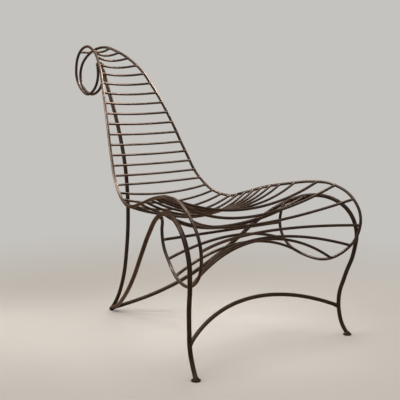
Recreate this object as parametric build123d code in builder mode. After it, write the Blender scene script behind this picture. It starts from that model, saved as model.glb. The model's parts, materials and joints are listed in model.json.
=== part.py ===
from build123d import *
import os
from math import sqrt

# Lounge chair bent and welded from round steel bar. Millimetres, +Z up, the sitter faces -Y and
# the sitter's left is +X. The origin lies on the floor under the middle of the chair.

# Bar diameters
RAIL_DIAMETER = 8.5
RIB_DIAMETER = 7.0
ROLL_RIB_DIAMETER = 8.0
LEG_DIAMETER = 12.0
SPINE_DIAMETER = 12.0
STRETCHER_DIAMETER = 11.0
BRACE_DIAMETER = 11.0

# Feet: a round pad under each front leg, a domed weld where the three rear bars meet
PAD_DIAMETER = 24.0
PAD_THICKNESS = 5.0
PAD_EDGE_RADIUS = 1.5
HEEL_SOLE_DIAMETER = 13.0
HEEL_DIAMETER = 18.0
HEEL_RISE = 5.0

# Places on the left side of the frame: half-width, depth from the middle, height
CROWN_HALF_WIDTH = 33.0
CROWN_DEPTH = 365.0
CROWN_HEIGHT = 851.0
BACK_HALF_WIDTH = 128.0
BACK_DEPTH = 142.0
BACK_HEIGHT = 617.0
DIP_HALF_WIDTH = 200.0
DIP_DEPTH = -44.0
DIP_HEIGHT = 389.0
HUMP_HALF_WIDTH = 289.0
HUMP_DEPTH = -301.0
HUMP_HEIGHT = 444.0
PAD_HALF_WIDTH = 307.0
PAD_DEPTH = -425.0
HEEL_DEPTH = 292.0
SPINE_BEND_DEPTH = 205.0
SPINE_BEND_HEIGHT = 352.0
HEEL_WELD_HEIGHT = 7.5
WELD_GAP = 0.2

# Ribs, spaced along the rail
VOLUTE_RIB_BEFORE_CROWN = 55.0
BACK_RIBS = 16
FIRST_RIB_DISTANCE = 28.0
BACK_PITCH_TOP = 39.0
BACK_PITCH_WAIST = 31.9
BACK_BOW = 14.0
WAIST_BOW = 5.0
SEAT_RIBS = 9
SEAT_DISH = 55.0
DISH_RIBS = 6
LIP_PITCH = 46.0
LIP_RIB_TO_HUMP = 54.0
# Roll and tail ribs: distance along the front scroll, then the middle's shift back and up
ROLL_RIBS = (
    (14.0, 8.0, -56.0),
    (71.0, 49.0, -69.0),
    (142.0, 92.0, -52.0),
    (223.0, 73.0, 9.0),
    (289.0, 68.0, 47.0),
    (360.0, 23.0, 82.0),
    (459.0, -6.0, 60.0),
)
TAIL_RIBS = (
    (521.0, -13.0, 39.0),
    (575.0, 0.0, 0.0),
)

# Cross bars: how far the middle of each is bowed back and up from its ends
STRETCHER_BOW_BACK = 64.0
STRETCHER_BOW_UP = 63.0
BRACE_BOW_BACK = 50.0
BRACE_BOW_DOWN = 68.0

crown = Vector(CROWN_HALF_WIDTH, CROWN_DEPTH, CROWN_HEIGHT)
crown_line = Vector(0, CROWN_DEPTH, CROWN_HEIGHT)
back = Vector(BACK_HALF_WIDTH, BACK_DEPTH, BACK_HEIGHT)
dip = Vector(DIP_HALF_WIDTH, DIP_DEPTH, DIP_HEIGHT)
hump = Vector(HUMP_HALF_WIDTH, HUMP_DEPTH, HUMP_HEIGHT)
pad = Vector(PAD_HALF_WIDTH, PAD_DEPTH, 0)
heel = Vector(0, HEEL_DEPTH, 0)

# The volutes stand one on each side of the spine, just clear of it, and end level with its top
volute_side = Vector((SPINE_DIAMETER + RAIL_DIAMETER) / 2 + WELD_GAP, CROWN_DEPTH, CROWN_HEIGHT)
volute_points = [
    volute_side + (0, -25, -55),
    volute_side + (0, -29, -80),
    volute_side + (0, -27, -102),
    volute_side + (0, -7, -136),
    volute_side + (-2, 28, -151),
    volute_side + (-4, 64, -136),
    volute_side + (-3, 88, -100),
    volute_side + (1, 84, -55),
    volute_side + (11, 52, -17),
    crown,
]

# From the crown down the back, through the dip of the seat and up to its front hump
run_points = [
    crown,
    crown + (17, -62, -18),
    crown + (44, -123, -64),
    crown + (71, -175, -141),
    back,
    dip + (-52, 144, 135),
    dip + (-35, 103, 59),
    dip + (-18, 53, 14),
    dip,
    dip + (10, -61, 14),
    dip + (25, -126, 34),
    hump + (-38, 65, -8),
    hump,
]

# The front scroll rolls over, under and back up, and its end lies against the inside of the leg's arch
tail_weld = hump + (-24, 62, -59)
tail_end = tail_weld - ((LEG_DIAMETER + RAIL_DIAMETER) / 2, 0, 0)
scroll_points = [
    hump,
    hump + (18, -61, -5),
    hump + (32, -119, -38),
    hump + (33, -151, -91),
    hump + (23, -148, -148),
    hump + (4, -115, -196),
    hump + (-13, -66, -222),
    hump + (-33, -5, -216),
    hump + (-53, 49, -184),
    hump + (-55, 76, -137),
    hump + (-52, 78, -101),
    hump + (-46, 70, -70),
    tail_end,
]

# A leg springs from its pad, arches under the seat's front and runs back down to the heel
stretcher_joint = pad + (-6, 29, 83)
leg_apex = hump + (-5, 17, -43)
leg_points = [
    pad + (0, 0, PAD_THICKNESS),
    pad + (-3, 9, 18),
    stretcher_joint,
    pad + (-5, 29, 114),
    pad + (7, 17, 175),
    hump + (39, -125, -203),
    hump + (46, -128, -136),
    hump + (41, -101, -80),
    hump + (23, -48, -46),
    leg_apex,
    tail_weld,
    dip + (20, -104, -67),
    dip + (-11, -37, -135),
    heel + (153, -302, 186),
    heel + (115, -226, 124),
    heel + (72, -145, 73),
    heel + (26, -61, 32),
    heel + (0, 0, HEEL_WELD_HEIGHT),
]

# The spine rises from the heel behind the back and ends between the two volutes
spine_points = [
    heel + (0, 0, HEEL_WELD_HEIGHT),
    heel + (0, -16, 27),
    heel + (0, -36, 58),
    heel + (0, -55, 102),
    heel + (0, -82, 237),
    Vector(0, SPINE_BEND_DEPTH, SPINE_BEND_HEIGHT),
    heel + (0, -76, 471),
    crown_line + (0, -113, -247),
    crown_line + (0, -60, -118),
    crown_line + (0, -38, -67),
    crown_line + (0, -29, -54),
]


def bend_directions(points):
    """Direction of a smooth bent bar at each of its points."""
    chords = [after - before for before, after in zip(points, points[1:])]
    directions = []
    for before, after in zip(chords, chords[1:]):
        blend = before.normalized() * after.length + after.normalized() * before.length
        directions.append(blend.normalized())
    first = chords[0].normalized() * (2 * chords[0].normalized().dot(directions[0])) - directions[0]
    last = chords[-1].normalized() * (2 * chords[-1].normalized().dot(directions[-1])) - directions[-1]
    return [first] + directions + [last]


def bend(start, start_direction, end, end_direction):
    """Two arcs that meet tangentially and take the bar from one point and direction to the next."""
    chord = end - start
    both = start_direction + end_direction
    turn = 2 * (1 - start_direction.dot(end_direction))
    along = chord.dot(both)
    if turn < 1e-9:
        reach = chord.dot(chord) / (2 * along)
    else:
        reach = (sqrt(along * along + turn * chord.dot(chord)) - along) / turn
    start_handle = start + start_direction * reach
    end_handle = end - end_direction * reach
    middle = (start_handle + end_handle) * 0.5
    for a, direction, b in ((start, start_direction, middle), (middle, end_handle - start_handle, end)):
        if direction.normalized().cross((b - a).normalized()).length < 1e-6:
            Line(a, b)
        else:
            TangentArc(a, b, tangent=direction)


def bent_bar(points, directions, diameter):
    """Round bar bent through the points; returns the bar and the line along its middle."""
    with BuildPart() as bar:
        with BuildLine() as middle_line:
            for a, a_direction, b, b_direction in zip(points, directions, points[1:], directions[1:]):
                bend(a, a_direction, b, b_direction)
        with BuildSketch(Plane(points[0], z_dir=directions[0])):
            Circle(diameter / 2)
        sweep()
    return bar.part, middle_line.wire()


def cross_bar(end, back_shift, up_shift, diameter, neighbours):
    """Bar from side to side, bowed at its middle and coped to the bars that it meets."""
    other_end = Vector(-end.X, end.Y, end.Z)
    with BuildPart() as bar:
        with BuildLine() as middle_line:
            if back_shift or up_shift:
                ThreePointArc(other_end, Vector(0, end.Y + back_shift, end.Z + up_shift), end)
            else:
                Line(other_end, end)
        with BuildSketch(Plane(other_end, z_dir=middle_line.wire() % 0)):
            Circle(diameter / 2)
        sweep()
        for neighbour in neighbours:
            add(neighbour, mode=Mode.SUBTRACT)
    return bar.part


def mirrored(part):
    """The same piece on the other side of the chair."""
    with BuildPart() as other:
        mirror(part, about=Plane.YZ)
    return other.part


def save(part, name):
    part.label = name
    export_step(part, f"parts/{name}.step")


def save_pair(part, name):
    save(part, f"left_{name}")
    save(mirrored(part), f"right_{name}")


os.makedirs("parts", exist_ok=True)

# Heel: the domed weld that joins both legs and the spine and stands on the floor
with BuildPart() as rear_heel:
    standing = (Align.CENTER, Align.CENTER, Align.MIN)
    with Locations(heel):
        Cone(HEEL_SOLE_DIAMETER / 2, HEEL_DIAMETER / 2, HEEL_RISE, align=standing)
    with Locations(heel + (0, 0, HEEL_RISE)):
        Sphere(HEEL_DIAMETER / 2, arc_size1=0, align=standing)
save(rear_heel.part, "rear_heel")

# Front pads
with BuildPart() as front_pad:
    with BuildSketch(Plane(pad)):
        Circle(PAD_DIAMETER / 2)
    extrude(amount=PAD_THICKNESS)
    fillet(front_pad.edges().filter_by(GeomType.CIRCLE), radius=PAD_EDGE_RADIUS)
save_pair(front_pad.part, "front_pad")

# Spine
spine_bar, spine_line = bent_bar(spine_points, bend_directions(spine_points), SPINE_DIAMETER)
with BuildPart() as spine:
    add(spine_bar)
    add(rear_heel.part, mode=Mode.SUBTRACT)
save(spine.part, "rear_spine")

# Legs, cut to the middle plane, the heel, the spine and the pad
leg_bar, leg_line = bent_bar(leg_points, bend_directions(leg_points), LEG_DIAMETER)
with BuildPart() as leg:
    add(leg_bar)
    split(bisect_by=Plane.YZ, keep=Keep.TOP)
    add(rear_heel.part, mode=Mode.SUBTRACT)
    add(spine.part, mode=Mode.SUBTRACT)
    add(front_pad.part, mode=Mode.SUBTRACT)
save_pair(leg.part, "leg")
legs = (leg.part, mirrored(leg.part))

# Rails: volute, back-and-seat run and front scroll, bent in one flowing line
rail_points = volute_points + run_points[1:] + scroll_points[1:]
rail_directions = bend_directions(rail_points)
crown_index = len(volute_points) - 1
hump_index = crown_index + len(run_points) - 1
volute, volute_line = bent_bar(volute_points, rail_directions[: crown_index + 1], RAIL_DIAMETER)
run, run_line = bent_bar(run_points, rail_directions[crown_index : hump_index + 1], RAIL_DIAMETER)
scroll_bar, scroll_line = bent_bar(scroll_points, rail_directions[hump_index:], RAIL_DIAMETER)
with BuildPart() as scroll:
    add(scroll_bar)
    add(leg.part, mode=Mode.SUBTRACT)
save_pair(volute, "volute")
save_pair(run, "rail")
save_pair(scroll.part, "scroll")
volutes = (volute, mirrored(volute))
runs = (run, mirrored(run))
scrolls = (scroll.part, mirrored(scroll.part))


def rail_place(line, distance):
    return line.position_at(distance, position_mode=PositionMode.LENGTH)


def dished_rib(distance, bow, name):
    """Rib of the back or seat with its middle shifted by the bow."""
    rib = cross_bar(rail_place(run_line, distance), bow.Y, bow.Z, RIB_DIAMETER, runs)
    save(rib, name)


def eased(first, last, share):
    return first + (last - first) * share


# Volute rib, straight, behind the crown
volute_rib_place = rail_place(volute_line, volute_line.length - VOLUTE_RIB_BEFORE_CROWN)
save(cross_bar(volute_rib_place, 0, 0, RIB_DIAMETER, volutes), "volute_rib")

# Back ribs, closer and flatter towards the waist, bowed square to the rail and away from the sitter
back_place = FIRST_RIB_DISTANCE
for number in range(BACK_RIBS):
    share = number / (BACK_RIBS - 1)
    if number:
        back_place += eased(BACK_PITCH_TOP, BACK_PITCH_WAIST, share)
    slope = run_line.tangent_at(back_place, position_mode=PositionMode.LENGTH)
    away = Vector(0, -slope.Z, slope.Y).normalized()
    dished_rib(back_place, away * eased(BACK_BOW, WAIST_BOW, share), f"back_rib_{number + 1:02d}")

# Seat ribs, evenly spread from the waist to the lip, sagging deeper until the full dish is reached
lip_place = run_line.length - LIP_RIB_TO_HUMP
seat_end = lip_place - LIP_PITCH
seat_pitch = (seat_end - back_place) / (SEAT_RIBS + 1)
seat_places = [back_place + number * seat_pitch for number in range(1, SEAT_RIBS + 1)]
seat_rise = (hump.Z - dip.Z) / (dip.Y - hump.Y)
for number, distance in enumerate(seat_places + [seat_end, lip_place], start=1):
    share = min(number / DISH_RIBS, 1)
    down = Vector(0, -seat_rise * share, -1).normalized()
    dished_rib(distance, down * eased(WAIST_BOW, SEAT_DISH, share), f"seat_rib_{number:02d}")

# Roll ribs wind round the front scroll with their middles drawn together, then the tail ribs
for group, ribs in (("roll_rib", ROLL_RIBS), ("tail_rib", TAIL_RIBS)):
    for number, (distance, back_shift, up_shift) in enumerate(ribs, start=1):
        place = rail_place(scroll_line, distance)
        save(cross_bar(place, back_shift, up_shift, ROLL_RIB_DIAMETER, scrolls), f"{group}_{number:02d}")

# Stretcher between the front legs and brace between the leg arches
stretcher = cross_bar(stretcher_joint, STRETCHER_BOW_BACK, STRETCHER_BOW_UP, STRETCHER_DIAMETER, legs)
save(stretcher, "front_stretcher")
brace = cross_bar(leg_apex, BRACE_BOW_BACK, -BRACE_BOW_DOWN, BRACE_DIAMETER, legs)
save(brace, "seat_brace")
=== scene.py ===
import json
from math import atan2, cos, radians, sin, sqrt

import bpy
from mathutils import Matrix, Vector


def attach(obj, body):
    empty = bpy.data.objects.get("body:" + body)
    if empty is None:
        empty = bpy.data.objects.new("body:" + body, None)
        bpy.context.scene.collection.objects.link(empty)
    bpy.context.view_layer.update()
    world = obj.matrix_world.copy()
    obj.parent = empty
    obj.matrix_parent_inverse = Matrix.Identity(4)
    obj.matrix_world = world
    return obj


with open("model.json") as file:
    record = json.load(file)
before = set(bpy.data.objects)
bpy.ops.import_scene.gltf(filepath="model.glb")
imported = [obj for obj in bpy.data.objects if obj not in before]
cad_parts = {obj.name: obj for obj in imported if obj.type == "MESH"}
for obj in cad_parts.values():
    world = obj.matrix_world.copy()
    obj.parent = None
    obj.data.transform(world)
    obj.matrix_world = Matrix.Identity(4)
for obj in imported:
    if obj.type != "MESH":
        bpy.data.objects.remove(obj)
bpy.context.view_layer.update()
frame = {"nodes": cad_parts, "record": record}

# Bar sizes
RIB_RADIUS = 0.0035
ROLL_RIB_RADIUS = 0.004
RAIL_RADIUS = 0.00425
CROSS_BAR_RADIUS = 0.0055
LEG_RADIUS = 0.006

# Welds. Rings of a weld round a bar's end: distance from the middle of the bar that it meets, in radii of
# that bar, and how far the ring has thinned from the flared foot, 0, to the bar's own surface, 1
WELD_RINGS = ((0.05, 0.1), (0.8, 0.0), (1.08, 0.3), (1.4, 0.68), (1.8, 0.93), (2.1, 1.15))
# Radius of the flared foot in radii of its own bar, and the most that it may be in radii of the bar it meets
WELD_FLARE = 1.25
WELD_INSET = 0.96
WELD_SIDES = 20
# A weld is up to WELD_UNEVENNESS thicker or thinner than its model, along a sine wave that moves on by
# WELD_STEP radians from one weld to the next. A right-hand weld is RIGHT_WELD_SHIFT of a step ahead.
WELD_UNEVENNESS = 0.05
WELD_STEP = 2.4
RIGHT_WELD_SHIFT = 0.5
# A cross bar counts as straight while its bow is less than this share of its radius
STRAIGHT_BOW = 0.01
# Rings of the low weld on a pad: height above the pad's top and radius
PAD_WELD_RINGS = (
    (-0.0008, 0.0094), (0.0, 0.0092), (0.0014, 0.0085),
    (0.0028, 0.0077), (0.0042, 0.0069), (0.0054, 0.0057),
)

# Places on the left side of the frame, and the way that a bar leaves them
PAD_TOP = Vector((0.307, -0.425, 0.005))
HEEL = Vector((0, 0.292, 0.0075))
LEG_AT_HEEL = Vector((0.026, -0.061, 0.0245))
SPINE_AT_HEEL = Vector((0, -0.016, 0.0195))
HEEL_WELD_REACH = 0.004
TAIL_WELD = Vector((0.2563, -0.2396, 0.385))
TAIL_WELD_SIZE = Vector((0.0058, 0.0066, 0.0078))
TAIL_WELD_SUBDIVISIONS = 3
TAIL_WELD_SMOOTHING = 0.5
TAIL_WELD_SMOOTHING_ROUNDS = 2
VOLUTE_TIP = Vector((0.01045, 0.34, 0.796))
VOLUTE_TIP_WAY = Vector((0, 0.3, 1))
SPINE_TIP = Vector((0, 0.336, 0.797))
SPINE_TIP_WAY = Vector((0, 0.76, 1))
TIP_SEGMENTS = 24
TIP_RINGS = 16
TIP_EDGE_ANGLE = 40

# Patina and painted highlight: their colours
UMBER = (0.026, 0.0165, 0.0118, 1)
BRONZE = (0.057, 0.039, 0.031, 1)
RAIL_BRONZE = (0.07, 0.047, 0.037, 1)
LEG_BRONZE = (0.05, 0.031, 0.022, 1)
FOOT_BRONZE = (0.042, 0.029, 0.021, 1)
WELD_BRONZE = (0.15, 0.09, 0.056, 1)
# Painted highlight: lighter colour laid on the upper sides of the bars
PAINTED_HIGHLIGHT = (0.33, 0.262, 0.215, 1)
SHEEN_TINT = (0.8, 0.6, 0.49, 1)
# Finishes: key, name of the material, lighter colour of its mottle, how much painted highlight lies on its
# upper side, and its roughness where it is smooth and where it is dull
FINISHES = (
    ("rib_steel", "Rib patina", BRONZE, 0.2, 0.27, 0.36),
    ("rail_steel", "Rail patina", RAIL_BRONZE, 0.55, 0.25, 0.33),
    ("leg_steel", "Leg patina", LEG_BRONZE, 0.15, 0.32, 0.48),
    ("foot_steel", "Foot patina", FOOT_BRONZE, 0.1, 0.42, 0.6),
    ("weld", "Weld patina", WELD_BRONZE, 0.6, 0.28, 0.42),
)
# Noises: scale, detail and roughness
MOTTLE_NOISE = (42, 6, 0.62)
SPECKLE_NOISE = (420, 4, 0.6)
# Noise that breaks the painted highlight on the upper sides into patches
HIGHLIGHT_PATCH_NOISE = (150, 5, 0.65)
DENT_NOISE = (95, 3, 0.5)
GRAIN_NOISE = (1300, 4, 0.7)
# Ranges: the part of a noise that is used, and what it becomes
MOTTLE_RANGE = (0.34, 0.68, 0, 1)
SPECKLE_RANGE = (0.42, 0.72, 0, 0.35)
# Range of the noise that breaks the painted highlight into patches
HIGHLIGHT_PATCH_RANGE = (0.36, 0.62, 0.6, 1)
# The part of the mottle over which the patina goes from dull to smooth
SHINE_PART = (0.3, 0.7)
# How far a surface faces up where the painted highlight starts and where it is full
PAINTED_HIGHLIGHT_FACING = (0.15, 0.95)
# Relief: strength and depth
DENT_RELIEF = (0.14, 0.0009)
GRAIN_RELIEF = (0.06, 0.00025)
WAX_WEIGHT = 0.12
WAX_ROUGHNESS = 0.3

# Picture: the photograph's viewpoint, and the light
CAMERA_PLACE = (-1.7798, -1.9634, 0.7005)
CAMERA_DOWN = 6.75
CAMERA_TURN = -44.02
CAMERA_LENS = 80.5
SENSOR_WIDTH = 36.0
FLOOR_SIZE = 40
FLOOR_COLOUR = (0.56, 0.52, 0.475, 1)
FLOOR_ROUGHNESS = 0.85
FLOOR_GLOSS = 0.2
# Distances at which the floor starts to fade into the background and has faded
FLOOR_FADE = (0.5, 2.0)
BACKGROUND_COLOUR = (0.56, 0.545, 0.52, 1)
AMBIENT_STRENGTH = 1.1
# Softboxes: name, place, the place that it is turned to, size, power and spread of its beam
SOFTBOXES = (
    ("overhead", (-0.2, 0.1, 3.0), (0, 0, 0.4), 4.0, 40, 180),
    ("upper_left", (-1.09, 0.58, 1.19), (-0.15, 0.1, 0.5), 0.5, 1.4, 50),
    ("upper_right", (0.84, 0.01, 1.49), (0, 0.28, 0.8), 0.6, 1.6, 30),
    ("over_seat", (0.3, -0.1, 1.6), (0.1, -0.15, 0.42), 0.5, 0.6, 40),
    ("front_left", (-2.3, -0.9, 1.9), (0, 0, 0.4), 1.0, 8, 180),
)


def only_selected(piece):
    bpy.ops.object.select_all(action="DESELECT")
    piece.select_set(True)
    bpy.context.view_layer.objects.active = piece


def mirrored(place):
    return Vector((-place.x, place.y, place.z))


# Materials


def link_noise(tree, coordinates, scale, detail, roughness):
    noise = tree.nodes.new("ShaderNodeTexNoise")
    noise.inputs["Scale"].default_value = scale
    noise.inputs["Detail"].default_value = detail
    noise.inputs["Roughness"].default_value = roughness
    tree.links.new(coordinates, noise.inputs["Vector"])
    return noise.outputs["Fac"]


def link_range(tree, value, low, high, to_low, to_high):
    ranged = tree.nodes.new("ShaderNodeMapRange")
    ranged.inputs["From Min"].default_value = low
    ranged.inputs["From Max"].default_value = high
    ranged.inputs["To Min"].default_value = to_low
    ranged.inputs["To Max"].default_value = to_high
    tree.links.new(value, ranged.inputs["Value"])
    return ranged.outputs["Result"]


def link_product(tree, first, second):
    product = tree.nodes.new("ShaderNodeMath")
    product.operation = "MULTIPLY"
    tree.links.new(first, product.inputs[0])
    tree.links.new(second, product.inputs[1])
    return product.outputs["Value"]


def link_mix(tree, share, first, second):
    """Mix of two colours; each is a fixed colour or another node's output."""
    mix = tree.nodes.new("ShaderNodeMix")
    mix.data_type = "RGBA"
    tree.links.new(share, mix.inputs["Factor"])
    for name, colour in (("A", first), ("B", second)):
        socket = next(s for s in mix.inputs if s.name == name and s.type == "RGBA")
        if isinstance(colour, tuple):
            socket.default_value = colour
        else:
            tree.links.new(colour, socket)
    return next(s for s in mix.outputs if s.type == "RGBA")


def link_relief(tree, height, strength, depth):
    relief = tree.nodes.new("ShaderNodeBump")
    relief.inputs["Strength"].default_value = strength
    relief.inputs["Distance"].default_value = depth
    tree.links.new(height, relief.inputs["Height"])
    return relief


def patinated_steel(name, bronze, painted_highlight_amount, smooth, dull):
    """Dark waxed patina, mottled, with a painted highlight that lightens its upper side, and slightly dented
    by the hammer.
    """
    material = bpy.data.materials.new(name)
    material.use_nodes = True
    tree = material.node_tree
    shader = tree.nodes["Principled BSDF"]
    place = tree.nodes.new("ShaderNodeTexCoord").outputs["Object"]

    mottle = link_noise(tree, place, *MOTTLE_NOISE)
    cloud = link_range(tree, mottle, *MOTTLE_RANGE)
    speckle = link_range(tree, link_noise(tree, place, *SPECKLE_NOISE), *SPECKLE_RANGE)
    colour = link_mix(tree, cloud, UMBER, bronze)
    colour = link_mix(tree, speckle, colour, UMBER)

    # Painted highlight: the upper side is painted lighter where it faces up, broken into patches by a noise
    facing = tree.nodes.new("ShaderNodeSeparateXYZ")
    tree.links.new(tree.nodes.new("ShaderNodeNewGeometry").outputs["Normal"], facing.inputs["Vector"])
    painted_highlight_share = link_range(tree, facing.outputs["Z"], *PAINTED_HIGHLIGHT_FACING, 0, painted_highlight_amount)
    highlight_patches = link_range(tree, link_noise(tree, place, *HIGHLIGHT_PATCH_NOISE), *HIGHLIGHT_PATCH_RANGE)
    colour = link_mix(tree, link_product(tree, painted_highlight_share, highlight_patches), colour, PAINTED_HIGHLIGHT)
    tree.links.new(colour, shader.inputs["Base Color"])

    shine = link_range(tree, mottle, *SHINE_PART, dull, smooth)
    tree.links.new(shine, shader.inputs["Roughness"])
    shader.inputs["Metallic"].default_value = 1.0
    shader.inputs["Specular Tint"].default_value = SHEEN_TINT
    shader.inputs["Coat Weight"].default_value = WAX_WEIGHT
    shader.inputs["Coat Roughness"].default_value = WAX_ROUGHNESS

    dents = link_relief(tree, link_noise(tree, place, *DENT_NOISE), *DENT_RELIEF)
    grain = link_relief(tree, link_noise(tree, place, *GRAIN_NOISE), *GRAIN_RELIEF)
    tree.links.new(dents.outputs["Normal"], grain.inputs["Normal"])
    tree.links.new(grain.outputs["Normal"], shader.inputs["Normal"])
    return material


def make_steels():
    return {key: patinated_steel(*finish) for key, *finish in FINISHES}


def finish_bars(steels):
    slots = {part["node"]: part["material_slot"] for part in frame["record"]["subparts"]}
    for name, bar in frame["nodes"].items():
        for slot in bar.material_slots:
            slot.material = steels[slots[name]]


# Welds and bar tips


def model_rings(name, rings):
    """Round form along +Z, extruded ring by ring from its foot and closed at both ends."""
    bpy.ops.object.select_all(action="DESELECT")
    low, wide = rings[0]
    bpy.ops.mesh.primitive_circle_add(vertices=WELD_SIDES, radius=wide, fill_type="NGON")
    form = bpy.context.object
    form.name = name
    bpy.ops.object.mode_set(mode="EDIT")
    bpy.ops.mesh.select_all(action="SELECT")
    bpy.ops.transform.translate(value=(0, 0, low))
    for height, radius in rings[1:]:
        bpy.ops.mesh.extrude_region_move(TRANSFORM_OT_translate={"value": (0, 0, height - low)})
        taper = radius / wide
        bpy.ops.transform.resize(value=(taper, taper, 1), center_override=(0, 0, height))
        low, wide = height, radius
    bpy.ops.mesh.select_all(action="SELECT")
    bpy.ops.mesh.normals_make_consistent(inside=False)
    bpy.ops.object.mode_set(mode="OBJECT")
    bpy.ops.object.shade_smooth()
    return form


def model_weld(name, bar_radius, met_radius):
    """Weld round a bar's end, flared where it meets the other bar and thinning out along its own."""
    flare = min(bar_radius * WELD_FLARE, met_radius * WELD_INSET)
    rings = [(met_radius * far, flare + (bar_radius - flare) * thin) for far, thin in WELD_RINGS]
    return model_rings(name, rings)


def set_weld(model, place, way, number):
    """A copy of the weld at its place, pointing along its bar, each one a little uneven in its own way."""
    only_selected(model)
    bpy.ops.object.duplicate(linked=False)
    weld = bpy.context.object
    swell = 1 + WELD_UNEVENNESS * sin(WELD_STEP * number)
    turned = way.to_track_quat("Z", "Y").to_matrix().to_4x4() @ Matrix.Rotation(number, 4, "Z")
    weld.matrix_world = Matrix.Translation(place) @ turned @ Matrix.Diagonal((swell, swell, 1, 1))
    bpy.ops.object.transform_apply(location=True, rotation=True, scale=True)
    return weld


def joined(pieces, name):
    only_selected(pieces[0])
    for piece in pieces[1:]:
        piece.select_set(True)
    bpy.ops.object.join()
    piece = bpy.context.object
    piece.name = name
    return piece


def middle_of(points):
    return sum(points, Vector()) / len(points)


def bar_end(node, bar_radius, met_radius):
    """Where a cross bar's middle line meets that of the left-hand bar, and the way from there along it."""
    points = [vertex.co for vertex in frame["nodes"][node].data.vertices]
    reach = max(point.x for point in points)
    end = middle_of([point for point in points if point.x > reach - met_radius])
    # The bar is an arc: at its end it turns twice as far as the straight line from there to its middle
    inmost = min(abs(point.x) for point in points)
    middle = middle_of([point for point in points if abs(point.x) < inmost + bar_radius / 2])
    bow = Vector((0, middle.y - end.y, middle.z - end.z))
    turn = 2 * atan2(bow.length, end.x)
    way = Vector((-cos(turn), 0, 0))
    if bow.length > bar_radius * STRAIGHT_BOW:
        way += bow.normalized() * sin(turn)
    # The coped end reaches furthest at its two horns, which stand a saddle's depth short of the middle line
    depth = max(-way.dot(point) for point in points)
    end = middle_of([point for point in points if -way.dot(point) > depth - met_radius])
    saddle = sqrt(met_radius ** 2 - bar_radius ** 2)
    return end - way * (depth + saddle + way.dot(end)), way


def weld_cross_bars(name, nodes, bar_radius, met_radius):
    """Welds at both ends of a group of cross bars, kept as one piece on each side."""
    model = model_weld(name + "_model", bar_radius, met_radius)
    sides = {"left": [], "right": []}
    for number, node in enumerate(nodes):
        place, way = bar_end(node, bar_radius, met_radius)
        sides["left"].append(set_weld(model, place, way, number))
        sides["right"].append(set_weld(model, mirrored(place), mirrored(way), number + RIGHT_WELD_SHIFT))
    bpy.data.objects.remove(model)
    return [joined(welds, f"{side}_{name}") for side, welds in sides.items()]


def weld_feet():
    """Welds of the legs on their pads, and of the legs and the spine in the heel."""
    pad_weld = model_rings("pad_weld_model", PAD_WELD_RINGS)
    heel_weld = model_weld("heel_weld_model", LEG_RADIUS, LEG_RADIUS)
    welds = []
    for side in (Vector, mirrored):
        welds.append(set_weld(pad_weld, side(PAD_TOP), Vector((0, 0, 1)), len(welds)))
        leg_way = side(LEG_AT_HEEL).normalized()
        welds.append(set_weld(heel_weld, HEEL + leg_way * HEEL_WELD_REACH, leg_way, len(welds)))
    spine_way = SPINE_AT_HEEL.normalized()
    welds.append(set_weld(heel_weld, HEEL + spine_way * HEEL_WELD_REACH, spine_way, len(welds)))
    for model in (pad_weld, heel_weld):
        bpy.data.objects.remove(model)
    return joined(welds, "foot_welds")


def weld_scroll_tails():
    """A bead of weld laid between the end of each front scroll and the leg that it lies against."""
    beads = []
    for side in (Vector, mirrored):
        bpy.ops.object.select_all(action="DESELECT")
        bpy.ops.mesh.primitive_ico_sphere_add(subdivisions=TAIL_WELD_SUBDIVISIONS, radius=1)
        bead = bpy.context.object
        bpy.ops.object.mode_set(mode="EDIT")
        bpy.ops.mesh.select_all(action="SELECT")
        bpy.ops.transform.resize(value=TAIL_WELD_SIZE, center_override=(0, 0, 0))
        bpy.ops.transform.translate(value=side(TAIL_WELD))
        bpy.ops.mesh.vertices_smooth(factor=TAIL_WELD_SMOOTHING, repeat=TAIL_WELD_SMOOTHING_ROUNDS)
        bpy.ops.object.mode_set(mode="OBJECT")
        bpy.ops.object.shade_smooth()
        beads.append(bead)
    return joined(beads, "scroll_tail_welds")


def round_tip(place, way, radius):
    """Rounded end of a bar: the half of a ball that stands out past the bar's cut."""
    bpy.ops.object.select_all(action="DESELECT")
    bpy.ops.mesh.primitive_uv_sphere_add(
        segments=TIP_SEGMENTS, ring_count=TIP_RINGS, radius=radius, location=place
    )
    bpy.ops.object.transform_apply(location=True, rotation=True, scale=True)
    tip = bpy.context.object
    bpy.ops.object.mode_set(mode="EDIT")
    bpy.ops.mesh.select_all(action="SELECT")
    bpy.ops.mesh.bisect(plane_co=place, plane_no=way, clear_inner=True, use_fill=True)
    bpy.ops.mesh.select_all(action="SELECT")
    bpy.ops.mesh.normals_make_consistent(inside=False)
    bpy.ops.object.mode_set(mode="OBJECT")
    bpy.ops.object.shade_smooth_by_angle(angle=radians(TIP_EDGE_ANGLE))
    return tip


def tip_bars():
    tips = [round_tip(SPINE_TIP, SPINE_TIP_WAY, LEG_RADIUS)]
    for side in (Vector, mirrored):
        tips.append(round_tip(side(VOLUTE_TIP), side(VOLUTE_TIP_WAY), RAIL_RADIUS))
    return joined(tips, "bar_tips")


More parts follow.
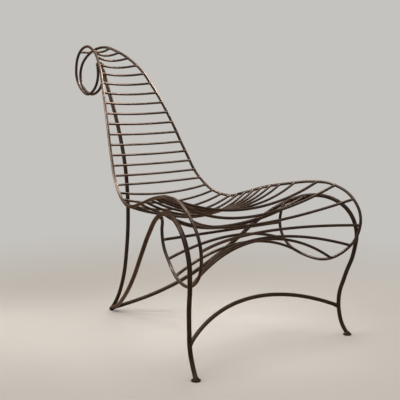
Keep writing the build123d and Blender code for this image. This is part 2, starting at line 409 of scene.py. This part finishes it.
def weld_and_tip(steels):
    nodes = sorted(frame["nodes"])
    ribs = [node for node in nodes if node.startswith(("back_rib", "seat_rib"))] + ["volute_rib"]
    roll_ribs = [node for node in nodes if node.startswith(("roll_rib", "tail_rib"))]
    cross_bars = ["front_stretcher", "seat_brace"]
    pieces = []
    for piece in weld_cross_bars("rib_welds", ribs, RIB_RADIUS, RAIL_RADIUS):
        pieces.append((piece, "weld", "rib_steel"))
    for piece in weld_cross_bars("roll_rib_welds", roll_ribs, ROLL_RIB_RADIUS, RAIL_RADIUS):
        pieces.append((piece, "weld", "rib_steel"))
    for piece in weld_cross_bars("cross_bar_welds", cross_bars, CROSS_BAR_RADIUS, LEG_RADIUS):
        pieces.append((piece, "leg_steel", "leg_steel"))
    pieces.append((weld_feet(), "foot_steel", "foot_steel"))
    pieces.append((weld_scroll_tails(), "rail_steel", "rail_steel"))
    pieces.append((tip_bars(), "rail_steel", "rail_steel"))
    for piece, finish, slot in pieces:
        piece.data.materials.clear()
        piece.data.materials.append(steels[finish])
        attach(piece, "root")


# Stage, light and camera


def seen_ray(tree):
    """1 where the surface is seen, straight or in a reflection, and 0 where it only gives light."""
    path = tree.nodes.new("ShaderNodeLightPath")
    seen = path.outputs["Is Camera Ray"]
    for ray in ("Is Glossy Ray", "Is Transmission Ray"):
        either = tree.nodes.new("ShaderNodeMath")
        either.operation = "MAXIMUM"
        tree.links.new(seen, either.inputs[0])
        tree.links.new(path.outputs[ray], either.inputs[1])
        seen = either.outputs["Value"]
    return seen


def lay_floor():
    """Pale floor that fades into the background at a distance."""
    bpy.ops.object.select_all(action="DESELECT")
    bpy.ops.mesh.primitive_plane_add(size=FLOOR_SIZE)
    floor = bpy.context.object
    floor.name = "studio_floor"
    material = bpy.data.materials.new("Pale floor")
    material.use_nodes = True
    tree = material.node_tree
    shader = tree.nodes["Principled BSDF"]
    shader.inputs["Base Color"].default_value = FLOOR_COLOUR
    shader.inputs["Roughness"].default_value = FLOOR_ROUGHNESS
    shader.inputs["Specular IOR Level"].default_value = FLOOR_GLOSS
    distance = tree.nodes.new("ShaderNodeVectorMath")
    distance.operation = "LENGTH"
    tree.links.new(tree.nodes.new("ShaderNodeTexCoord").outputs["Object"], distance.inputs[0])
    fade = link_range(tree, distance.outputs["Value"], *FLOOR_FADE, 0, 1)
    fade.node.interpolation_type = "SMOOTHSTEP"
    haze = tree.nodes.new("ShaderNodeEmission")
    haze.inputs["Color"].default_value = BACKGROUND_COLOUR
    mix = tree.nodes.new("ShaderNodeMixShader")
    tree.links.new(link_product(tree, fade, seen_ray(tree)), mix.inputs["Fac"])
    tree.links.new(shader.outputs["BSDF"], mix.inputs[1])
    tree.links.new(haze.outputs["Emission"], mix.inputs[2])
    tree.links.new(mix.outputs["Shader"], tree.nodes["Material Output"].inputs["Surface"])
    floor.data.materials.append(material)


def light_studio():
    world = bpy.data.worlds.new("Studio")
    bpy.context.scene.world = world
    world.use_nodes = True
    tree = world.node_tree
    shown = tree.nodes["Background"]
    shown.inputs["Color"].default_value = BACKGROUND_COLOUR
    ambient = tree.nodes.new("ShaderNodeBackground")
    ambient.inputs["Color"].default_value = BACKGROUND_COLOUR
    ambient.inputs["Strength"].default_value = AMBIENT_STRENGTH
    mix = tree.nodes.new("ShaderNodeMixShader")
    tree.links.new(seen_ray(tree), mix.inputs["Fac"])
    tree.links.new(ambient.outputs["Background"], mix.inputs[1])
    tree.links.new(shown.outputs["Background"], mix.inputs[2])
    tree.links.new(mix.outputs["Shader"], tree.nodes["World Output"].inputs["Surface"])
    for name, place, target, size, power, spread in SOFTBOXES:
        light = bpy.data.lights.new(name, "AREA")
        light.size = size
        light.energy = power
        light.spread = radians(spread)
        softbox = bpy.data.objects.new(name, light)
        softbox.location = place
        aim = Vector(target) - softbox.location
        softbox.rotation_euler = aim.to_track_quat("-Z", "Y").to_euler()
        softbox.visible_camera = False
        bpy.context.scene.collection.objects.link(softbox)


def place_camera():
    lens = bpy.data.cameras.new("Photograph view")
    lens.lens = CAMERA_LENS
    lens.sensor_width = SENSOR_WIDTH
    camera = bpy.data.objects.new("Photograph view", lens)
    camera.location = CAMERA_PLACE
    camera.rotation_euler = (radians(90 - CAMERA_DOWN), 0, radians(CAMERA_TURN))
    bpy.context.scene.collection.objects.link(camera)
    bpy.context.scene.camera = camera


steels = make_steels()
finish_bars(steels)
weld_and_tip(steels)
lay_floor()
light_studio()
place_camera()
bpy.context.scene.view_settings.view_transform = "Standard"
